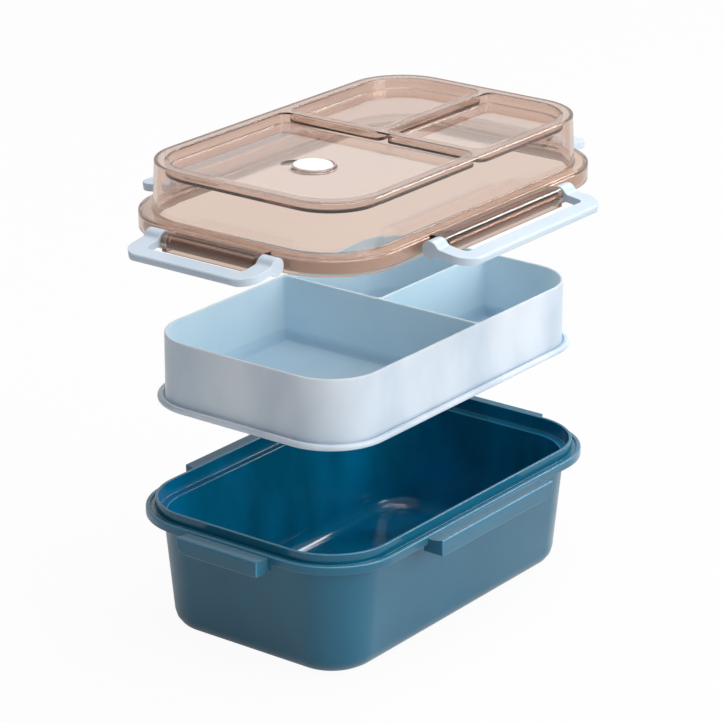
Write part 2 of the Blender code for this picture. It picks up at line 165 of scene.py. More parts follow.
class Finishes(bpy.types.PropertyGroup):
    """Colours of the plastics and silicones."""

    teal: colour("Teal", "Outer box plastic", "#03617F")
    # Painted light: the inside teal is a lighter copy of the box plastic that stands in for light falling into the
    # box. Its polish is real.
    teal_inside_painted_light: colour("Teal inside", "Outer box plastic on the polished inside", "#0280AE")
    # Painted highlight: a lighter teal on the rounded edges of the lip, rim and lugs, where light catches them.
    teal_edge_painted_highlight: colour("Teal edge", "Outer box plastic on edges, rubbed bright", "#4089AA")
    teal_shade: colour("Teal shade", "Outer box plastic where the pigment is denser", "#035B77")
    tray_blue: colour("Tray blue", "Inside of the tray", "#C4E4F7")
    tray_floor: colour("Tray floor", "Floors of the tray, which get less light", "#8AB6D2")
    tray_shade: colour("Tray blue shade", "Inside of the tray where the pigment is denser", "#BDDFF4")
    # Painted sheen: the tray's outside is a paler, greyer copy of the tray blue that stands in for the white surround
    # mirrored in its satin skin.
    tray_outside_painted_sheen: colour("Tray outside", "Outside of the tray, paled by its satin skin", "#D8E1EB")
    latch_blue: colour("Latch blue", "Latch plastic", "#C3D0DC")
    latch_shade: colour("Latch shade", "Latch plastic where the pigment is denser", "#BBC9D7")
    clear: colour("Clear skin", "Tint of one lid wall", "#E5D0C4")
    clear_shade: colour("Clear skin shade", "Tint of one lid wall where it is denser", "#E2CCC0")
    clear_skirt: colour("Clear skirt", "Tint of the lid's skirt wall", "#D1BAAC")
    clear_rod: colour("Clear rod", "Tint of the thick hinge rods", "#B5A79F")
    clear_deep: colour("Clear deep", "Tint of a lid wall seen through two others", "#F4EEEA")
    clear_light: colour("Clear light", "What the lid lets through of the lamps' light", "#C8C4C0")
    dye: colour("Dye", "Colour that the lid plastic lets through deep down", "#D3BEB3")
    dye_density: number("Dye density", "How fast the dye darkens with depth, per metre", 75.0, min=0.0)
    white_silicone: colour("White silicone", "Valve disc", "#E8E7E6")
    white_bloom: colour("White bloom", "Valve disc under its bloom", "#EDECEB")
    seal_silicone: colour("Seal silicone", "Seal ring", "#DAD4D0")
    seal_bloom: colour("Seal bloom", "Seal ring under its bloom", "#DEDAD6")
    backdrop: colour("Backdrop", "Floor and background as they show", "#FFFFFF")
    paper: colour("Paper", "Floor as it lights the box", "#D2D2D2")


class StudioSettings(bpy.types.PropertyGroup):
    """Camera and lamps."""

    azimuth: angle("Azimuth", "Camera's turn round the box", -52.9)
    elevation: angle("Elevation", "Camera's height above level", 20.46)
    distance: length("Distance", "Camera to the middle of the layers", 1.635)
    lens: number("Lens", "Focal length in millimetres on a 36 mm frame", 159.3)
    middle: length("Middle", "Height that the camera looks at", 0.1285)
    aside: number("Aside", "How far the view's centre lies left of the axis", 3.4 * MM, unit="LENGTH")
    above: number("Above", "How far the view's centre lies above the middle", -1.9 * MM, unit="LENGTH")
    surround: number("Surround", "How strongly the surround lights the long side", 0.62, min=0.0)
    surround_dim: number("Surround, dim side", "How strongly the surround lights the far end", 0.06, min=0.0)
    key: power("Key", "Power of the lamp on the long side", 29.0)
    fill: power("Fill", "Power of the lamp on the short end", 0.4)
    top: power("Top", "Power of the lamp overhead", 35.0)
    edge: power("Edge", "Power of the lamp that draws bright lines on edges", 9.0)


class LunchBoxSettings(bpy.types.PropertyGroup):
    """All settings of the lunch box."""

    rim: PointerProperty(type=RimSizes)
    box: PointerProperty(type=BoxSizes)
    tray: PointerProperty(type=TraySizes)
    lid: PointerProperty(type=LidSizes)
    latch: PointerProperty(type=LatchSizes)
    finish: PointerProperty(type=Finishes)
    studio: PointerProperty(type=StudioSettings)


def settings():
    """The scene's lunch box settings."""
    return bpy.context.scene.lunch_box


# Outlines and sections


def arc(centre, radius, start, end, steps):
    """Points on an arc in the plane, from start to end in degrees."""
    turns = [math.radians(start + (end - start) * i / steps) for i in range(steps + 1)]
    return [(centre[0] + radius * math.cos(t), centre[1] + radius * math.sin(t)) for t in turns]


def rounded_path(corners, steps=4):
    """Polyline through (x, y, radius) corners, with an arc at every corner that has a radius."""
    points = []
    for i, (x, y, radius) in enumerate(corners):
        here = Vector((x, y))
        if radius == 0:
            points.append(here)
            continue
        back = Vector(corners[i - 1][:2]) - here
        ahead = Vector(corners[(i + 1) % len(corners)][:2]) - here
        half = back.angle(ahead) / 2
        reach = min(radius / math.tan(half), 0.49 * back.length, 0.49 * ahead.length)
        middle = (back.normalized() + ahead.normalized()).normalized()
        centre = here + middle * (reach / math.cos(half))
        first = here + back.normalized() * reach - centre
        last = here + ahead.normalized() * reach - centre
        turn = math.atan2(first.x * last.y - first.y * last.x, first.dot(last))
        for k in range(steps + 1):
            points.append(centre + Matrix.Rotation(turn * k / steps, 2) @ first)
    return points


def rounded_box(x0, x1, y0, y1, radii, steps):
    """Rounded rectangle; radii are for the corners (+x+y, -x+y, -x-y, +x-y)."""
    corners = ((x1, y1, -1, -1), (x0, y1, 1, -1), (x0, y0, 1, 1), (x1, y0, -1, 1))
    points = []
    for i, (x, y, sx, sy) in enumerate(corners):
        points += arc((x + sx * radii[i], y + sy * radii[i]), radii[i], 90 * i, 90 * i + 90, steps)
    return points


def cells(inset, gap, corner, grow):
    """Outlines of the large and the two small cells on both sides of a T, grown outwards."""
    rim = settings().rim
    middle = settings().tray.divider_x
    x = rim.half_length - inset + grow
    y = rim.half_width - inset + grow
    big = rim.corner - inset + grow
    small = max(corner + grow, 0.4 * MM)
    near, far = middle - gap + grow, middle + gap - grow
    yield rounded_box(-x, near, -y, y, (small, big, big, small), CELL_STEPS)
    yield rounded_box(far, x, gap - grow, y, (big, small, small, small), CELL_STEPS)
    yield rounded_box(far, x, -y, grow - gap, (small, small, small, big), CELL_STEPS)


def rim_inset(point):
    """How far a point lies inside the rim outline in plan."""
    rim = settings().rim
    x = abs(point[0]) - rim.half_length + rim.corner
    y = abs(point[1]) - rim.half_width + rim.corner
    return rim.corner - math.hypot(max(x, 0), max(y, 0)) - min(max(x, y), 0)


def hollow(floor, top, foot, foot_steps, edge_steps):
    """(growth, height) steps of a hollow: filleted foot, straight wall, softened upper edge, and out at the top."""
    edge = 0.5 * MM
    steps = arc((-foot, floor + foot), foot, 270, 360, foot_steps)
    steps += arc((edge, top - edge), edge, 180, 90, edge_steps)
    return steps + [(edge, top + 2 * MM)]


def on_side(side, long_side, short_end):
    """The one of two values that goes with a side."""
    return long_side if side in ("front", "back") else short_end


# Mesh tools


def loft(mesh, rings):
    """Skin rings of equal length into one closed body."""
    loops = [[mesh.verts.new(p) for p in ring] for ring in rings]
    faces = [mesh.faces.new(loops[0]), mesh.faces.new(loops[-1])]
    for low, high in zip(loops, loops[1:]):
        for i in range(len(low)):
            j = (i + 1) % len(low)
            faces.append(mesh.faces.new((low[i], low[j], high[j], high[i])))
    bmesh.ops.recalc_face_normals(mesh, faces=faces)


def level(points, z):
    """One ring at one height."""
    return [Vector((p[0], p[1], z)) for p in points]


def cell_bodies(name, inset, gap, corner, steps):
    """Bodies in the three cells, from (growth, height) steps."""
    mesh = bmesh.new()
    for outlines in zip(*[cells(inset, gap, corner, grow) for grow, _ in steps]):
        loft(mesh, [level(outline, z) for outline, (_, z) in zip(outlines, steps)])
    return new_piece(name, mesh)


def turned(name, profile, steps=64, centre=VALVE_MIDDLE):
    """Body of revolution about a vertical axis, from (radius, height) points."""
    mesh = bmesh.new()
    loft(mesh, [level(arc(centre, radius, 0, 360, steps)[:-1], z) for radius, z in profile])
    return new_piece(name, mesh)


def side_matrix(side, height):
    """Frame of a hinge line or lug: x along the side, y outwards from the rim, z up."""
    rim = settings().rim
    edge = on_side(side, rim.half_width, rim.half_length)
    spin = Matrix.Rotation(math.radians(SIDE_TURNS[side]), 4, "Z")
    flip = Matrix.Rotation(math.pi, 4, "Z")
    return spin @ Matrix.Translation((0, -edge, height)) @ flip


def side_bar(mesh, side, rings, height):
    """Body along a side from rings of (along, out, up) points."""
    place = side_matrix(side, height)
    loft(mesh, [[place @ Vector(p) for p in ring] for ring in rings])


def new_object(name, data):
    """Object in the scene, at the origin."""
    obj = bpy.data.objects.new(name, data)
    bpy.context.scene.collection.objects.link(obj)
    return obj


def new_piece(name, mesh):
    """Object made from an edit mesh."""
    data = bpy.data.meshes.new(name)
    mesh.to_mesh(data)
    mesh.free()
    return new_object(name, data)


def apply_modifiers(obj):
    """Plain mesh from what the modifiers make."""
    deps = bpy.context.evaluated_depsgraph_get()
    data = bpy.data.meshes.new_from_object(obj.evaluated_get(deps))
    old = obj.data
    obj.modifiers.clear()
    obj.data = data
    data.name = obj.name
    bpy.data.meshes.remove(old)


def combine(obj, tool, operation):
    """Exact Boolean with a body that is used up."""
    modifier = obj.modifiers.new(operation, "BOOLEAN")
    modifier.operation = operation
    modifier.solver = "EXACT"
    modifier.object = tool
    apply_modifiers(obj)
    data = tool.data
    bpy.data.objects.remove(tool)
    bpy.data.meshes.remove(data)


def smooth(obj, angle):
    """Smooth shading with creases sharper than the angle kept."""
    obj.data.shade_smooth()
    obj.data.set_sharp_from_angle(angle=math.radians(angle))
    weighted = obj.modifiers.new("flat_faces_lead", "WEIGHTED_NORMAL")
    weighted.keep_sharp = True
    apply_modifiers(obj)


def finish_piece(obj, materials, node, body):
    """Give a piece its plastics and hand it to the frame in place of its solid."""
    obj.data.materials.clear()
    for material in materials:
        obj.data.materials.append(material)
    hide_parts(node)
    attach(obj, body)


# Nodes


def wire(tree, node, inputs):
    """Give each named input of a node its value, or link it to a socket."""
    for name, value in inputs.items():
        if isinstance(value, bpy.types.NodeSocket):
            tree.links.new(value, node.inputs[name])
        else:
            node.inputs[name].default_value = value


def add(tree, kind, inputs=None, **options):
    """Node of a kind with its options and inputs."""
    node = tree.nodes.new(kind)
    for name, value in options.items():
        setattr(node, name, value)
    wire(tree, node, inputs or {})
    return node


def skin(tree, wear, gloss, grain, depth, strength):
    """Roughness that drifts between two values with the wear, and the normal of a grain of some depth."""
    rough = add(tree, "ShaderNodeMapRange", {"Value": wear.outputs["Fac"], "From Min": 0.3, "From Max": 0.7,
                                             "To Min": gloss[0], "To Max": gloss[1]})
    bump = add(tree, "ShaderNodeBump", {"Height": grain.outputs["Fac"], "Distance": depth, "Strength": strength})
    return {"Roughness": rough.outputs["Result"], "Normal": bump.outputs["Normal"]}


# Sweep of a section round the shared rim outline


def rim_sweep_tree():
    """Geometry nodes that carry a section round the rim outline."""
    tree = bpy.data.node_groups.get("rim_sweep")
    if tree:
        return tree
    tree = bpy.data.node_groups.new("rim_sweep", "GeometryNodeTree")
    sockets = (("Section", "NodeSocketGeometry"), ("Length", "NodeSocketFloat"), ("Width", "NodeSocketFloat"),
               ("Corner Radius", "NodeSocketFloat"), ("Corner Steps", "NodeSocketInt"),
               ("Material", "NodeSocketMaterial"))
    for name, kind in sockets:
        tree.interface.new_socket(name=name, in_out="INPUT", socket_type=kind)
    tree.interface.new_socket(name="Shell", in_out="OUTPUT", socket_type="NodeSocketGeometry")
    given = add(tree, "NodeGroupInput").outputs
    sheet = add(tree, "GeometryNodeCurvePrimitiveQuadrilateral",
                {"Width": given["Length"], "Height": given["Width"]})
    outline = add(tree, "GeometryNodeFilletCurve",
                  {"Curve": sheet.outputs["Curve"], "Radius": given["Corner Radius"],
                   "Count": given["Corner Steps"]}, mode="POLY")
    upright = add(tree, "GeometryNodeSetCurveNormal", {"Curve": outline.outputs["Curve"]}, mode="Z_UP")
    section = add(tree, "GeometryNodeMeshToCurve", {"Mesh": given["Section"]})
    sweep = add(tree, "GeometryNodeCurveToMesh",
                {"Curve": upright.outputs["Curve"], "Profile Curve": section.outputs["Curve"]})
    whole = add(tree, "GeometryNodeRealizeInstances", {"Geometry": sweep.outputs["Mesh"]})
    dressed = add(tree, "GeometryNodeSetMaterial",
                  {"Geometry": whole.outputs["Geometry"], "Material": given["Material"]})
    add(tree, "NodeGroupOutput", {"Shell": dressed.outputs["Geometry"]})
    return tree


def swept(name, section, material, ring=False):
    """Piece whose (inset, height) section runs round the rim outline, as a closed body or as a ring."""
    rim = settings().rim
    mesh = bmesh.new()
    verts = [mesh.verts.new((-inset, -height, 0.0)) for inset, height in section]
    for a, b in zip(verts, verts[1:]):
        mesh.edges.new((a, b))
    if ring:
        mesh.edges.new((verts[-1], verts[0]))
    obj = new_piece(name, mesh)
    tree = rim_sweep_tree()
    values = {
        "Length": 2 * rim.half_length, "Width": 2 * rim.half_width, "Corner Radius": rim.corner,
        "Corner Steps": rim.corner_steps, "Material": material,
    }
    modifier = obj.modifiers.new("rim_sweep", "NODES")
    modifier.node_group = tree
    for item in tree.interface.items_tree:
        if item.in_out == "INPUT" and item.name in values:
            modifier[item.identifier] = values[item.name]
    apply_modifiers(obj)
    edit = bmesh.new()
    edit.from_mesh(obj.data)
    bmesh.ops.edgeloop_fill(edit, edges=[edge for edge in edit.edges if edge.is_boundary])
    bmesh.ops.recalc_face_normals(edit, faces=edit.faces)
    edit.to_mesh(obj.data)
    edit.free()
    return obj


# Plastics and silicones


def new_material(name):
    """Material with its node tree, Principled shader and Object coordinates."""
    material = bpy.data.materials.new(name)
    material.use_nodes = True
    tree = material.node_tree
    where = add(tree, "ShaderNodeTexCoord").outputs["Object"]
    return material, tree, tree.nodes["Principled BSDF"], where


def polypropylene(name, main, shade, gloss, relief, haze=0.0, glow=0.0, floor=None):
    """Injection-moulded polypropylene: pigment drifts with the melt, the surface copies the mould's finish."""
    material, tree, shader, where = new_material(name)
    # Pigment drifts over about 45 mm along the melt's flow; too faint to read as a pattern.
    flow = add(tree, "ShaderNodeMapping", {"Vector": where, "Scale": (1.0, 1.0, 0.5)})
    drift = add(tree, "ShaderNodeTexNoise", {"Vector": flow.outputs["Vector"], "Scale": 1 / (45 * MM), "Detail": 3.0})
    blend = add(tree, "ShaderNodeMapRange", {"Value": drift.outputs["Fac"], "From Min": 0.35, "From Max": 0.65})
    tint = add(tree, "ShaderNodeMix", {"Factor": blend.outputs["Result"], MIX_FROM: (*main, 1.0),
                                       MIX_TO: (*shade, 1.0)}, data_type="RGBA")
    if floor:
        # Light that reaches the floor of a hollow has picked up the colour of the walls, so the floor looks deeper.
        tone, low = floor
        height = add(tree, "ShaderNodeSeparateXYZ", {"Vector": where})
        sunk = add(tree, "ShaderNodeMapRange", {"Value": height.outputs["Z"], "From Min": low + 0.2 * MM,
                                                "From Max": low + 6.0 * MM, "To Min": 1.0, "To Max": 0.0})
        tint = add(tree, "ShaderNodeMix", {"Factor": sunk.outputs["Result"], MIX_FROM: tint.outputs[MIX_RESULT],
                                           MIX_TO: (*tone, 1.0)}, data_type="RGBA")
    # Handling scuffs about 9 mm long turn patches of the satin a little duller.
    drawn = add(tree, "ShaderNodeMapping", {"Vector": where, "Scale": (0.35, 1.0, 1.0)})
    scuffs = add(tree, "ShaderNodeTexNoise", {"Vector": drawn.outputs["Vector"], "Scale": 1 / (9 * MM), "Detail": 5.0})
    # Spark-eroded grain is about 0.1 mm; it is drawn at 0.4 mm so that it shows.
    grain = add(tree, "ShaderNodeTexNoise", {"Vector": where, "Scale": 1 / (0.4 * MM), "Detail": 2.0})
    # A spark-eroded skin scatters a white haze at a slant, and a thin pale wall lets light soak through.
    wire(tree, shader, {
        "Base Color": tint.outputs[MIX_RESULT], **skin(tree, scuffs, gloss, grain, 0.02 * MM, relief), "IOR": 1.49,
        "Sheen Weight": haze, "Sheen Roughness": 0.45, "Subsurface Weight": glow,
        "Subsurface Radius": (1.0, 1.0, 1.0), "Subsurface Scale": 5 * MM,
    })
    return material


def clear_styrene(name, finish):
    """Clear styrene with a tea-brown dye: pale where thin, dark where light runs along a wall or a rod."""
    material, tree, shader, where = new_material(name)
    # The dye drifts over about 50 mm.
    drift = add(tree, "ShaderNodeTexNoise", {"Vector": where, "Scale": 1 / (50 * MM), "Detail": 2.0})
    tint = add(tree, "ShaderNodeMix", {"Factor": drift.outputs["Fac"], MIX_FROM: (*finish.clear, 1.0),
                                       MIX_TO: (*finish.clear_shade, 1.0)}, data_type="RGBA")
    # Light runs a long way in the skirt's wall, and further in the thick hinge rods outside the rim outline.
    rim = settings().rim
    straight = (rim.half_length - rim.corner, rim.half_width - rim.corner, 0.0)
    none, level_only = (0.0, 0.0, 0.0), (1.0, 1.0, 0.0)
    reach = where
    for operation, other in (("ABSOLUTE", none), ("SUBTRACT", straight), ("MAXIMUM", none), ("MULTIPLY", level_only)):
        reach = add(tree, "ShaderNodeVectorMath", {0: reach, 1: other}, operation=operation).outputs["Vector"]
    reach = add(tree, "ShaderNodeVectorMath", {0: reach}, operation="LENGTH").outputs["Value"]
    height = add(tree, "ShaderNodeSeparateXYZ", {"Vector": where}).outputs["Z"]
    path = add(tree, "ShaderNodeLightPath").outputs
    ranges = ((reach, rim.corner - 3.0 * MM, rim.corner - 2.3 * MM),
              (reach, rim.corner + 0.3 * MM, rim.corner + 1.5 * MM),
              (height, LID_LOW + 1.8 * MM, LID_LOW + 3.0 * MM),
              (path["Transmission Depth"], 1.0, 3.0))
    edge, beyond, raised, behind = (
        add(tree, "ShaderNodeMapRange", {"Value": value, "From Min": low, "From Max": high}).outputs["Result"]
        for value, low, high in ranges)
    rod = add(tree, "ShaderNodeMath", {0: beyond, 1: raised}, operation="MULTIPLY").outputs["Value"]
    # Light that has crossed several faces has mixed with white from all round, so walls behind walls add little.
    for factor, tone in ((edge, finish.clear_skirt), (rod, finish.clear_rod), (behind, finish.clear_deep)):
        tint = add(tree, "ShaderNodeMix", {"Factor": factor, MIX_FROM: tint.outputs[MIX_RESULT],
                                           MIX_TO: (*tone, 1.0)}, data_type="RGBA")
    # Polished faces with wiping marks some 6 mm long that only dull the gleam a trace, and slow ripples of 18 mm.
    drawn = add(tree, "ShaderNodeMapping", {"Vector": where, "Scale": (0.25, 1.0, 1.0)})
    wiped = add(tree, "ShaderNodeTexNoise", {"Vector": drawn.outputs["Vector"], "Scale": 1 / (6 * MM), "Detail": 5.0})
    ripple = add(tree, "ShaderNodeTexNoise", {"Vector": where, "Scale": 1 / (18 * MM), "Detail": 1.0})
    wire(tree, shader, {"Base Color": tint.outputs[MIX_RESULT], "Transmission Weight": 1.0, "IOR": 1.5,
                        **skin(tree, wiped, (0.01, 0.05), ripple, 0.03 * MM, 0.2)})
    # Lamps shine through the lid, so that the tray under it is lit.
    through = add(tree, "ShaderNodeBsdfTransparent", {"Color": (*finish.clear_light, 1.0)})
    mix = add(tree, "ShaderNodeMixShader", {"Fac": path["Is Shadow Ray"], 1: shader.outputs["BSDF"],
                                            2: through.outputs["BSDF"]})
    body = add(tree, "ShaderNodeVolumeAbsorption", {"Color": (*finish.dye, 1.0), "Density": finish.dye_density})
    wire(tree, tree.nodes["Material Output"], {"Surface": mix.outputs["Shader"], "Volume": body.outputs["Volume"]})
    return material


def silicone_rubber(name, main, shade, gloss):
    """Moulded silicone rubber: matte, soft at its edges, with a faint dusty bloom."""
    material, tree, shader, where = new_material(name)
    # Bloom gathers in patches of about 3 mm.
    bloom = add(tree, "ShaderNodeTexNoise", {"Vector": where, "Scale": 1 / (3 * MM), "Detail": 4.0})
    tint = add(tree, "ShaderNodeMix", {"Factor": bloom.outputs["Fac"], MIX_FROM: (*main, 1.0),
                                       MIX_TO: (*shade, 1.0)}, data_type="RGBA")
    # The mould's fine blasting is about 0.05 mm; it is drawn at 0.25 mm so that it shows.
    grain = add(tree, "ShaderNodeTexNoise", {"Vector": where, "Scale": 1 / (0.25 * MM), "Detail": 2.0})
    wire(tree, shader, {
        "Base Color": tint.outputs[MIX_RESULT], **skin(tree, bloom, gloss, grain, 0.01 * MM, 0.4),
        "Subsurface Weight": 0.15, "Subsurface Scale": 1.5 * MM, "IOR": 1.41,
    })
    return material


# Operators


class LUNCHBOX_OT_outer_box(bpy.types.Operator):
    """Build the deep outer box with its rim, lip, ledge and four lugs"""

    bl_idname = "lunchbox.outer_box"
    bl_label = "Outer Box"

    def execute(self, context):
        finish = settings().finish
        box = settings().box
        rim = BOX_TOP - box.lip
        ledge = rim - box.ledge_drop
        outside = polypropylene("polypropylene_teal_satin", finish.teal, finish.teal_shade, (0.28, 0.38), 0.4,
                                haze=0.4)
        # Painted light: the inside takes a lighter teal for the light that falls into the box. The lower roughness is
        # real polish.
        inside = polypropylene("polypropylene_teal_gloss_painted_light", finish.teal_inside_painted_light, finish.teal, (0.10, 0.18), 0.12)
        lip = polypropylene("polypropylene_teal_lip", finish.teal, finish.teal_shade, (0.12, 0.20), 0.12)
        # Painted highlight: rounded edges of the lip, rim and lugs take a lighter teal where light would catch them.
        painted_highlight = polypropylene("polypropylene_teal_edge", finish.teal_edge_painted_highlight, finish.teal_edge_painted_highlight, (0.16, 0.24), 0.2)
        obj = swept("outer_box_moulding", self.section(rim, ledge), outside)
        combine(obj, self.lugs(rim), "UNION")
        combine(obj, self.webs(rim, ledge), "UNION")
        smooth(obj, 32)
        finish_piece(obj, (outside, inside, lip, painted_highlight), "outer_box", "box")
        for face in obj.data.polygons:
            face.material_index = self.finish_of(face.normal, face.center, rim)
        return {"FINISHED"}

    @staticmethod
    def finish_of(normal, centre, rim):
        """Place of a face's plastic in the piece's list."""
        satin, polished, lip, painted_highlight = range(4)
        inset, height = rim_inset(centre), centre.z
        faces_in = normal.x * centre.x + normal.y * centre.y < 0 or normal.z > 0.3
        rounded_over = 0.4 < normal.z < 0.95
        rounded_side = 0.4 < max(abs(normal.x), abs(normal.y)) < 0.95 and normal.z > -0.1
        on_lip_edge = height > BOX_TOP - 0.5 * MM
        on_rim_edge = height > rim - 0.8 * MM and 0 < inset < 0.8 * MM
        on_lug_edge = inset < 0.9 * MM - settings().box.lug_reach
        # Painted highlight on the rounded edges of the lip and rim.
        if rounded_over and (on_lip_edge or on_rim_edge):
            return painted_highlight
        # Inward faces take the lighter inside teal, which is painted light.
        if faces_in and height > 1.5 * MM and inset > 6.3 * MM:
            return polished
        if height > rim - 1.2 * MM and inset > 1.8 * MM:
            return lip
        # Painted highlight on the lugs' softened edges; all other faces are satin.
        return painted_highlight if on_lug_edge and rounded_side else satin

    @staticmethod
    def section(rim, ledge):
        """Wall section from the sunk underside, up the outside, over the lip and down to the floor."""
        box = settings().box
        wall = box.wall
        foot = 1.2 * MM
        top = rim + box.lip
        edge = 13 * MM
        return rounded_path([
            (36.0 * MM, foot, 0), (33.8 * MM, foot, 0.8 * MM), (32.2 * MM, 0, 0.8 * MM),
            (14.5 * MM, 0, edge),
            (9.0 * MM, ledge - 2.4 * MM, 1.2 * MM), (4.8 * MM, ledge - 2.4 * MM, 1.0 * MM),
            (4.0 * MM, rim - 2.4 * MM, 0.5 * MM), (2.1 * MM, rim - 2.4 * MM, 0.4 * MM),
            (2.1 * MM, rim - box.skirt, 0.4 * MM), (0, rim - box.skirt, 0.5 * MM), (0, rim, 0.8 * MM),
            (2.2 * MM, rim, 0.6 * MM), (2.7 * MM, rim - 0.9 * MM, 0.3 * MM), (4.5 * MM, rim - 0.9 * MM, 0.4 * MM),
            (4.9 * MM, top, 0.5 * MM), (6.4 * MM, top, 0.5 * MM),
            (6.6 * MM, ledge, 0.6 * MM), (11.0 * MM, ledge, 0.7 * MM),
            (16.6 * MM, wall, edge - wall), (32.2 * MM, wall, 0.9 * MM),
            (33.8 * MM, wall + foot, 0.9 * MM), (36.0 * MM, wall + foot, 0),
        ])

    @staticmethod
    def lugs(rim):
        """Four lugs that the latches hook under, with softened faces."""
        box = settings().box
        top, valley, low = rim - 0.2 * MM, rim - 1.3 * MM, rim - 0.3 * MM - box.lug_height
        edge, fillet, rise = 0.9 * MM, 0.4 * MM, 2 * MM
        front = box.lug_reach - edge
        # A hollow runs along the rim, the lug's top rises from it, and the front edges are softened.
        stations = [(-2.6 * MM, 0, valley + fillet)]
        stations += [(0.5 * i * MM, 0, valley + fillet * (1 - i / 4) ** 2) for i in range(5)]
        stations += [(rise + (front - rise) * i / 4, 0, valley + (top - valley) * (i / 4) ** 1.4) for i in (1, 2, 3)]
        stations += [(front + x, edge - y, top) for x, y in arc((0, 0), edge, 90, 0, 4)]
        mesh = bmesh.new()
        for side in SIDE_TURNS:
            half = on_side(side, box.lug_half_long, box.lug_half_short)
            first, last = on_side(side, (6.0 * MM, 1.0 * MM), (1.0 * MM, 6.0 * MM))
            rings = []
            for out, shrink, high in stations:
                span = half - shrink
                face = arc((-half + first, low + first), first - shrink, 180, 270, 8)
                face += arc((half - last, low + last), last - shrink, 270, 360, 8)
                face += [(span, high - shrink), (-span, high - shrink)]
                rings.append([(u, out, z) for u, z in face])
            side_bar(mesh, side, rings, 0.0)
        return new_piece("lugs", mesh)

    @staticmethod
    def webs(rim, ledge):
        """Blocks under the rim that tie the lugs to the wall."""
        box = settings().box
        low, high = rim - 0.25 * MM - box.lug_height, ledge - 1.2 * MM
        mesh = bmesh.new()
        for side in SIDE_TURNS:
            half = on_side(side, box.lug_half_long, box.lug_half_short) - 7.0 * MM
            face = [(-half, low), (half, low), (half, high), (-half, high)]
            side_bar(mesh, side, [[(u, out, z) for u, z in face] for out in (-10 * MM, -2 * MM)], 0.0)
        return new_piece("webs", mesh)


class LUNCHBOX_OT_tray(bpy.types.Operator):
    """Build the light tray with its seating flange and T of dividers"""

    bl_idname = "lunchbox.tray"
    bl_label = "Tray"

    def execute(self, context):
        finish = settings().finish
        tray = settings().tray
        seat = TRAY_LOW + tray.plug
        floor = seat + tray.floor
        wall = tray.wall_inset
        inside = polypropylene("polypropylene_tray_inside", finish.tray_blue, finish.tray_shade, (0.36, 0.48), 0.4,
                               glow=0.3, floor=(finish.tray_floor, floor))
        # Painted sheen: the outside takes a paler, greyer blue for the white surround mirrored on it.
        outside = polypropylene("polypropylene_tray_satin_painted_sheen", finish.tray_outside_painted_sheen, finish.latch_shade, (0.30, 0.42), 0.4,
                                glow=0.3)
        section = rounded_path([
            (30 * MM, TRAY_LOW, 0), (12.8 * MM, TRAY_LOW, 0.6 * MM), (11.6 * MM, seat, 0.3 * MM),
            (7.2 * MM, seat, 1.5 * MM), (7.2 * MM, seat + 3.2 * MM, 1.2 * MM),
            (wall - 1.2 * MM, seat + 3.0 * MM, 0.9 * MM), (wall - 0.9 * MM, seat + 1.9 * MM, 0.35 * MM),
            (wall - 0.05 * MM, seat + 1.9 * MM, 0.35 * MM),
            (wall, TRAY_HIGH, 0.6 * MM), (24 * MM, TRAY_HIGH, 0),
        ])
        obj = swept("tray_moulding", section, outside)
        steps = hollow(floor, TRAY_HIGH, tray.fillet, 6, 4)
        combine(obj, cell_bodies("compartments", wall + tray.wall, tray.divider / 2, 2.2 * MM, steps), "DIFFERENCE")
        smooth(obj, 32)
        # The layers hang apart here, so the box mirrors the lamps and not the tray over it.
        obj.visible_glossy = False
        finish_piece(obj, (outside, inside), "tray", "tray")
        # The compartments take the inside blue, which is not paled by painted sheen. The groove above the flange takes
        # it too, so its low faces get the floor's deeper blue as painted shade.
        for face in obj.data.polygons:
            inset, rise = rim_inset(face.center), face.center.z - seat
            groove = rise < 2.8 * MM and inset > wall - 1.2 * MM
            if rise > 1 * MM and (groove or inset > wall + 0.8 * MM):
                face.material_index = 1
        return {"FINISHED"}


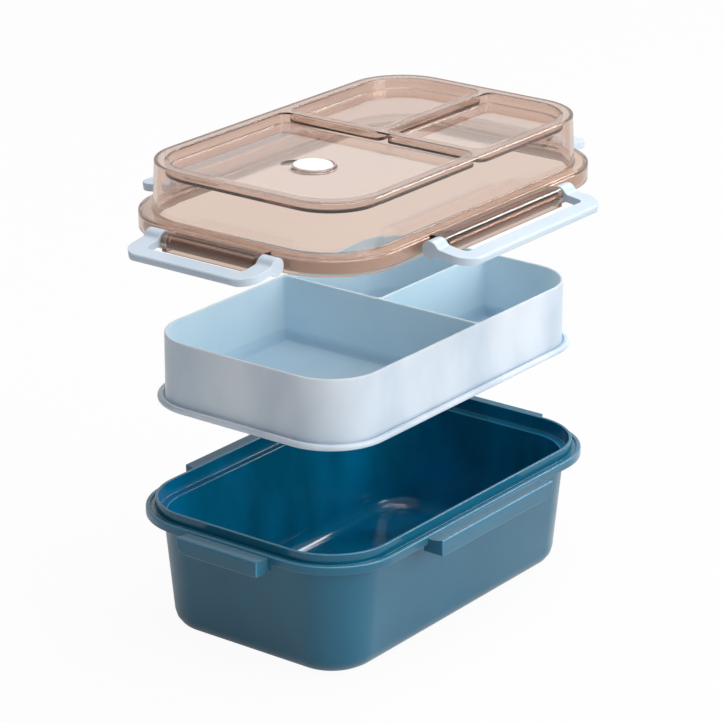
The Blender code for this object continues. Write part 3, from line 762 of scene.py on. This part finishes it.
class LUNCHBOX_OT_lid(bpy.types.Operator):
    """Build the clear lid with its sunk panels, valve seat and hinge barrels"""

    bl_idname = "lunchbox.lid"
    bl_label = "Lid"

    def execute(self, context):
        clear = clear_styrene("styrene_clear_brown", settings().finish)
        obj = swept("lid_moulding", self.section(), clear)
        combine(obj, self.cups(), "UNION")
        combine(obj, self.barrels(0.0), "UNION")
        combine(obj, self.recesses(), "DIFFERENCE")
        combine(obj, self.barrels(1.5 * MM), "DIFFERENCE")
        combine(obj, self.boss(), "UNION")
        combine(obj, self.seat(), "DIFFERENCE")
        combine(obj, self.nail_recess(), "DIFFERENCE")
        combine(obj, self.pin_holes(), "DIFFERENCE")
        smooth(obj, 32)
        finish_piece(obj, (clear,), "lid_shell", "lid")
        return {"FINISHED"}

    @staticmethod
    def section():
        """Shell section from the underside of the roof, down to the skirt and up over the dome."""
        lid = settings().lid
        low, top = LID_LOW, LID_HIGH
        dome, wall = lid.dome_inset, lid.wall
        return rounded_path([
            (22 * MM, top - 1.1 * MM, 0), (dome + 1.0 * MM + wall, top - 1.1 * MM, 0.4 * MM),
            (dome + wall, low + lid.skirt, 0), (dome + wall, low + 3.4 * MM, 0.6 * MM),
            (dome, low + 3.4 * MM, 0.6 * MM), (dome, low + 7.6 * MM, 0.5 * MM),
            (2.1 * MM, low + 7.6 * MM, 0.9 * MM), (2.1 * MM, low, 0.6 * MM), (0, low, 0.8 * MM),
            (0, low + lid.skirt, 0.9 * MM), (dome, low + lid.skirt, 0.7 * MM),
            (dome + 1.0 * MM, top, 0.6 * MM), (22 * MM, top, 0),
        ], 5)

    @staticmethod
    def panel_top():
        """Height of the sunk panels' upper face."""
        return LID_HIGH - settings().lid.panel_depth

    @staticmethod
    def sunk(steps):
        """Bodies in the three panel places, from (growth, height) steps."""
        lid = settings().lid
        return cell_bodies("panels", lid.dome_inset + 1.0 * MM + lid.ring, lid.rib / 2, 4.5 * MM, steps)

    def cups(self):
        """Thin pans that hang from the roof and carry the sunk panels."""
        under = self.panel_top() - settings().lid.panel
        wall, edge = 1.4 * MM, 0.5 * MM
        return self.sunk(arc((wall - edge, under + edge), edge, 270, 360, 5) + [(wall, LID_HIGH - 0.7 * MM)])

    def recesses(self):
        """Hollows above the panels."""
        return self.sunk(hollow(self.panel_top(), LID_HIGH, 0.8 * MM, 5, 6))

    @staticmethod
    def barrels(wall):
        """Four hinge barrels, each a rod over a panel set a little back, or the hollows in them inside a wall."""
        latch = settings().latch
        solid = wall == 0
        foot, root = (0.2 * MM, -1.0 * MM) if solid else (-2.0 * MM, wall)
        roof, front = latch.height - 1.6 * MM, latch.reach + 1.4 * MM
        mesh = bmesh.new()
        for side in SIDE_TURNS:
            half = on_side(side, latch.half_long, latch.half_short)
            ends = ((half - 0.6 * MM, 0.0), (half, 0.6 * MM)) if solid else ((half - 2.6 * MM, 0.0),)
            rings = []
            for u, cut in [(-u, cut) for u, cut in reversed(ends)] + list(ends):
                radius = latch.barrel - cut
                profile = [(root, roof), (front, roof), (front, foot)]
                if solid:
                    profile = [(root, latch.height + radius - 0.3 * MM)]
                    profile += arc((latch.reach, latch.height), radius, 90, -45, 14)
                    profile += [(latch.reach + 0.7 * radius, foot)]
                rings.append([(u, out, z) for out, z in [(root, foot)] + profile])
            side_bar(mesh, side, rings, LID_LOW)
        return new_piece("barrels", mesh)

    @staticmethod
    def pin_holes():
        """Holes in the barrel ends that the latch pins turn in."""
        latch = settings().latch
        ring = arc((latch.reach, latch.height), 2.0 * MM, 0, 360, 24)[:-1]
        depth = 3.0 * MM
        mesh = bmesh.new()
        for side in SIDE_TURNS:
            half = on_side(side, latch.half_long, latch.half_short)
            for end in (-1, 1):
                rings = [[(end * u, out, z) for out, z in ring] for u in (half - depth, half + depth)]
                side_bar(mesh, side, rings, LID_LOW)
        return new_piece("pin_holes", mesh)

    def boss(self):
        """Raised ring round the valve."""
        panel, edge = self.panel_top(), 0.5 * MM
        outer, top = VALVE_RADIUS + 1.7 * MM, panel + 1.0 * MM
        profile = [(outer + edge, panel - 1.9 * MM), (outer + edge, panel)]
        profile += arc((outer + edge, panel + edge), edge, 270, 180, 3)[1:]
        profile += arc((outer - edge, top - edge), edge, 0, 90, 4)
        return turned("valve_boss", profile)

    def seat(self):
        """Seat that the valve disc lies in, and the vent under it."""
        panel, vent, disc = self.panel_top(), 3.5 * MM, VALVE_RADIUS + 0.3 * MM
        top = panel + 1.0 * MM
        floor, mouth = top - 2.0 * MM, VALVE_RADIUS + 0.7 * MM
        return turned("valve_seat", [(vent, panel - 5 * MM), (vent, floor), (disc, floor), (disc, top - 0.4 * MM),
                                     (mouth, top), (mouth, top + 3 * MM)])

    def nail_recess(self):
        """Shallow dish beside the valve for a fingernail."""
        panel, aside, turn = self.panel_top(), 9.0 * MM, math.radians(107.0)
        place = (VALVE_MIDDLE.x + aside * math.cos(turn), VALVE_MIDDLE.y + aside * math.sin(turn))
        profile = [(0.5 * MM, panel - 0.5 * MM), (4.8 * MM, panel - 0.46 * MM), (6.4 * MM, panel - 0.34 * MM),
                   (7.5 * MM, panel - 0.14 * MM), (8.1 * MM, panel + 0.05 * MM), (8.1 * MM, panel + 4 * MM)]
        return turned("nail_recess", profile, 56, place)


class LUNCHBOX_OT_seal(bpy.types.Operator):
    """Build the silicone seal ring in the lid's groove"""

    bl_idname = "lunchbox.seal"
    bl_label = "Seal"

    def execute(self, context):
        finish = settings().finish
        low, high = (corner[2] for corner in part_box("lid_gasket"))
        rubber = silicone_rubber("silicone_seal", finish.seal_silicone, finish.seal_bloom, (0.40, 0.55))
        outer, inner = 2.4 * MM, 6.9 * MM
        # A flap hangs from the ring along the inside of the skirt.
        flap, foot = outer + 1.4 * MM, LID_LOW + 1.2 * MM
        section = rounded_path([
            (outer, foot, 0.4 * MM), (outer, high, 0.4 * MM), (inner, high, 0.4 * MM),
            (inner, low + 0.5 * MM, 0.4 * MM), (inner - 0.9 * MM, low, 0.3 * MM),
            (flap, low + 0.5 * MM, 0.4 * MM), (flap, foot, 0.4 * MM),
        ])
        obj = swept("lid_seal", section, rubber, ring=True)
        smooth(obj, 40)
        finish_piece(obj, (rubber,), "lid_gasket", "lid")
        return {"FINISHED"}


class LUNCHBOX_OT_valve(bpy.types.Operator):
    """Build the silicone valve disc with its stem"""

    bl_idname = "lunchbox.valve"
    bl_label = "Valve Disc"

    def execute(self, context):
        finish = settings().finish
        rubber = silicone_rubber("silicone_white", finish.white_silicone, finish.white_bloom, (0.45, 0.60))
        stem, radius, top, edge, dish = 3.2 * MM, VALVE_RADIUS, VALVE_HIGH.z, 0.7 * MM, 0.15 * MM
        rim = top - 2.0 * MM
        profile = [(2.6 * MM, VALVE_LOW.z), (stem, VALVE_LOW.z + 0.5 * MM), (stem, rim)]
        profile += [(radius - 0.4 * MM, rim), (radius, rim + 0.4 * MM)]
        profile += arc((radius - edge, top - edge), edge, 0, 90, 6)
        profile += [(radius - 1.6 * MM, top), (radius - 2.4 * MM, top - dish), (2.0 * MM, top - dish)]
        obj = turned("valve_disc", profile, 96)
        smooth(obj, 35)
        finish_piece(obj, (rubber,), "valve_stopper", "valve")
        return {"FINISHED"}


class LUNCHBOX_OT_latches(bpy.types.Operator):
    """Build the four latch frames with their knuckles and stub pins"""

    bl_idname = "lunchbox.latches"
    bl_label = "Latches"

    def execute(self, context):
        finish = settings().finish
        plastic = polypropylene("polypropylene_latch_satin", finish.latch_blue, finish.latch_shade, (0.34, 0.46), 0.4,
                                glow=0.2)
        for side in SIDE_TURNS:
            obj = self.latch(side)
            smooth(obj, 35)
            finish_piece(obj, (plastic,), "latch_" + side, "latch_" + side)
        return {"FINISHED"}

    def latch(self, side):
        """One latch: a U in plan, cut to a knuckle-and-plate side view, then softened."""
        latch = settings().latch
        half = on_side(side, latch.half_long, latch.half_short)
        inner = half + 0.3 * MM
        outer = inner + latch.arm
        mesh = bmesh.new()
        outline = self.plan(inner, outer)
        loft(mesh, [level(outline, z) for z in (-8 * MM, 8 * MM)])
        obj = new_piece("latch_" + side + "_frame", mesh)
        mesh = bmesh.new()
        loft(mesh, [[Vector((u, v, w)) for v, w in self.side_view()] for u in (-outer - 5 * MM, outer + 5 * MM)])
        combine(obj, new_piece("side_view", mesh), "INTERSECT")
        bevel = obj.modifiers.new("soft_edges", "BEVEL")
        bevel.width = 1.0 * MM
        bevel.segments = 4
        bevel.limit_method = "ANGLE"
        bevel.angle_limit = math.radians(48)
        apply_modifiers(obj)
        pins = bmesh.new()
        pins.from_mesh(obj.data)
        for end in (-1, 1):
            stations = ((inner - 2.4 * MM, 1.3 * MM), (inner - 2.0 * MM, 1.7 * MM), (inner + 3 * MM, 1.7 * MM))
            loft(pins, [[Vector((end * u, y, z)) for y, z in arc((0, 0), r, 0, 360, 20)[:-1]] for u, r in stations])
        pins.to_mesh(obj.data)
        pins.free()
        place = side_matrix(side, LID_LOW + latch.height) @ Matrix.Translation((0, latch.reach, 0))
        obj.data.transform(place @ Matrix.Rotation(-latch.tilt, 4, "X"))
        return obj

    @staticmethod
    def plan(inner, outer):
        """U outline in the plane of the frame, as (along, out) points."""
        latch = settings().latch
        tip = latch.hook + latch.bar
        corner, window = 11.0 * MM, 3.0 * MM
        back = -latch.knuckle - 1 * MM
        points = [(outer, back)]
        points += arc((outer - corner, tip - corner), corner, 0, 90, 12)
        points += arc((corner - outer, tip - corner), corner, 90, 180, 12)
        points += [(-outer, back), (-inner, back)]
        points += arc((window - inner, latch.hook - window), window, 180, 90, 8)
        points += arc((inner - window, latch.hook - window), window, 90, 0, 8)
        return points + [(inner, back)]

    @staticmethod
    def side_view():
        """Round knuckle that flows into the flat plate, as (out, up) points."""
        latch = settings().latch
        flat, radius, blend, edge = latch.plate / 2, latch.knuckle, 3.0 * MM, 1.2 * MM
        tip = latch.hook + latch.bar
        across = math.sqrt((radius + blend) ** 2 - (flat + blend) ** 2)
        lean = math.degrees(math.atan2(flat + blend, across))
        points = arc((0, 0), radius, lean, 360 - lean, 28)
        points += arc((across, -flat - blend), blend, 180 - lean, 90, 6)
        points += arc((tip - edge, -flat + edge), edge, 270, 360, 4)
        points += arc((tip - edge, flat - edge), edge, 0, 90, 4)
        points += arc((across, flat + blend), blend, 270, 180 + lean, 6)[:-1]
        return points


class LUNCHBOX_OT_studio(bpy.types.Operator):
    """Build the pale floor, the soft lamps and the camera"""

    bl_idname = "lunchbox.studio"
    bl_label = "Studio"

    def execute(self, context):
        finish = settings().finish
        studio = settings().studio
        self.floor(finish)
        self.world(studio, (*finish.backdrop, 1.0))
        self.lamp("key_softbox", (0.35, -2.2, 0.95), 1.4, studio.key)
        self.lamp("fill_softbox", (-1.9, -0.5, 1.1), 1.2, studio.fill)
        self.lamp("top_softbox", (0.2, -0.4, 2.3), 1.6, studio.top)
        self.lamp("edge_softbox", (1.72, -0.05, 1.62), 0.5, studio.edge)
        self.camera(studio)
        scene = bpy.context.scene
        scene.view_settings.view_transform = "Standard"
        # Light runs along inside the lid's walls, and shows black where it is cut off after a few turns.
        scene.cycles.max_bounces = 24
        scene.cycles.glossy_bounces = 16
        scene.cycles.transmission_bounces = 20
        return {"FINISHED"}

    @staticmethod
    def seen_directly(tree, gleam):
        """1 for rays that show the background straight or through clear plastic, and a share of it in a gleam."""
        path = add(tree, "ShaderNodeLightPath").outputs
        part = add(tree, "ShaderNodeMath", {0: path["Is Glossy Ray"], 1: gleam}, operation="MULTIPLY")
        through = add(tree, "ShaderNodeMath", {0: path["Transmission Depth"], 1: 1.0}, operation="MINIMUM")
        shown = path["Is Camera Ray"]
        for other in (through, part):
            shown = add(tree, "ShaderNodeMath", {0: shown, 1: other.outputs[0]}, operation="MAXIMUM").outputs[0]
        return shown

    def floor(self, finish):
        """Wide pale floor that shows as white paper and keeps a soft shadow."""
        mesh = bmesh.new()
        bmesh.ops.create_grid(mesh, x_segments=4, y_segments=4, size=6.0)
        bmesh.ops.translate(mesh, verts=mesh.verts, vec=(0, 0, -0.2 * MM))
        obj = new_piece("studio_floor", mesh)
        # Matte backdrop paper: no gleam, and a shadow that fades within a hand's width.
        material, tree, shader, _ = new_material("paper_backdrop")
        wire(tree, shader, {"Roughness": 0.9, "Base Color": (*finish.paper, 1.0)})
        glow = add(tree, "ShaderNodeEmission", {"Color": (*finish.backdrop, 1.0)})
        share = add(tree, "ShaderNodeMath", {0: self.seen_directly(tree, 0.4), 1: 0.95}, operation="MULTIPLY")
        mix = add(tree, "ShaderNodeMixShader", {"Fac": share.outputs[0], 1: shader.outputs[0], 2: glow.outputs[0]})
        wire(tree, tree.nodes["Material Output"], {"Surface": mix.outputs["Shader"]})
        obj.data.materials.append(material)

    def world(self, studio, white):
        """White surround that lights the long side more than the short end."""
        world = bpy.data.worlds.new("studio_surround")
        world.use_nodes = True
        tree = world.node_tree
        long_side, backdrop = (0.45, -0.80, 0.40), (0.78, 0.59, 0.20)
        where = add(tree, "ShaderNodeTexCoord").outputs["Generated"]
        toward = add(tree, "ShaderNodeVectorMath", {0: where, 1: long_side}, operation="DOT_PRODUCT")
        fade = add(tree, "ShaderNodeMapRange", {"Value": toward.outputs["Value"], "From Min": -0.7, "From Max": 0.8,
                                                "To Min": studio.surround_dim, "To Max": studio.surround})
        plain = add(tree, "ShaderNodeBackground", {"Color": white, "Strength": fade.outputs["Result"]})
        shown = add(tree, "ShaderNodeBackground", {"Color": white, "Strength": 1.0})
        # The backdrop behind the box gleams fully, the rest of the room a little.
        behind = add(tree, "ShaderNodeVectorMath", {0: where, 1: backdrop}, operation="DOT_PRODUCT")
        gleam = add(tree, "ShaderNodeMapRange", {"Value": behind.outputs["Value"], "From Min": 0.55, "From Max": 0.85,
                                                 "To Min": 0.3, "To Max": 0.95})
        mix = add(tree, "ShaderNodeMixShader", {"Fac": self.seen_directly(tree, gleam.outputs["Result"]),
                                                1: plain.outputs[0], 2: shown.outputs[0]})
        wire(tree, tree.nodes["World Output"], {"Surface": mix.outputs["Shader"]})
        bpy.context.scene.world = world

    @staticmethod
    def lamp(name, place, size, power):
        """Square soft lamp aimed at the middle of the layers."""
        data = bpy.data.lights.new(name, "AREA")
        data.size = size
        data.energy = power
        obj = new_object(name, data)
        obj.location = place
        aim = Vector(place) - Vector((0, 0, settings().studio.middle))
        obj.rotation_euler = aim.to_track_quat("Z", "Y").to_euler()

    @staticmethod
    def camera(studio):
        """Long-lens camera at the picture's angle."""
        turn, rise = studio.azimuth, studio.elevation
        back = Vector((math.sin(turn) * math.cos(rise), -math.cos(turn) * math.cos(rise), math.sin(rise)))
        right = Vector((math.cos(turn), math.sin(turn), 0.0))
        data = bpy.data.cameras.new("camera")
        data.lens = studio.lens
        data.sensor_width = 36.0
        obj = new_object("camera", data)
        aim = Vector((0, 0, studio.middle + studio.above)) - right * studio.aside
        obj.location = aim + back * studio.distance
        obj.rotation_euler = back.to_track_quat("Z", "Y").to_euler()
        bpy.context.scene.camera = obj


class LUNCHBOX_PT_panel(bpy.types.Panel):
    """Sidebar panel with the lunch box's builders"""

    bl_idname = "LUNCHBOX_PT_panel"
    bl_label = "Lunch Box"
    bl_space_type = "VIEW_3D"
    bl_region_type = "UI"
    bl_category = "Lunch Box"

    def draw(self, context):
        for operator in OPERATORS:
            self.layout.operator(operator.bl_idname)


GROUPS = (RimSizes, BoxSizes, TraySizes, LidSizes, LatchSizes, Finishes, StudioSettings, LunchBoxSettings)
OPERATORS = (LUNCHBOX_OT_outer_box, LUNCHBOX_OT_tray, LUNCHBOX_OT_lid, LUNCHBOX_OT_seal,
             LUNCHBOX_OT_valve, LUNCHBOX_OT_latches, LUNCHBOX_OT_studio)


def register():
    """Register the settings, the builders and the panel."""
    for group in GROUPS + OPERATORS + (LUNCHBOX_PT_panel,):
        bpy.utils.register_class(group)
    bpy.types.Scene.lunch_box = PointerProperty(type=LunchBoxSettings)


def unregister():
    """Take the classes out again."""
    del bpy.types.Scene.lunch_box
    for group in reversed(GROUPS + OPERATORS + (LUNCHBOX_PT_panel,)):
        bpy.utils.unregister_class(group)


def main():
    """Build every piece."""
    register()
    bpy.ops.lunchbox.outer_box()
    bpy.ops.lunchbox.tray()
    bpy.ops.lunchbox.lid()
    bpy.ops.lunchbox.seal()
    bpy.ops.lunchbox.valve()
    bpy.ops.lunchbox.latches()
    bpy.ops.lunchbox.studio()
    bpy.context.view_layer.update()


if __name__ == "__main__":
    main()
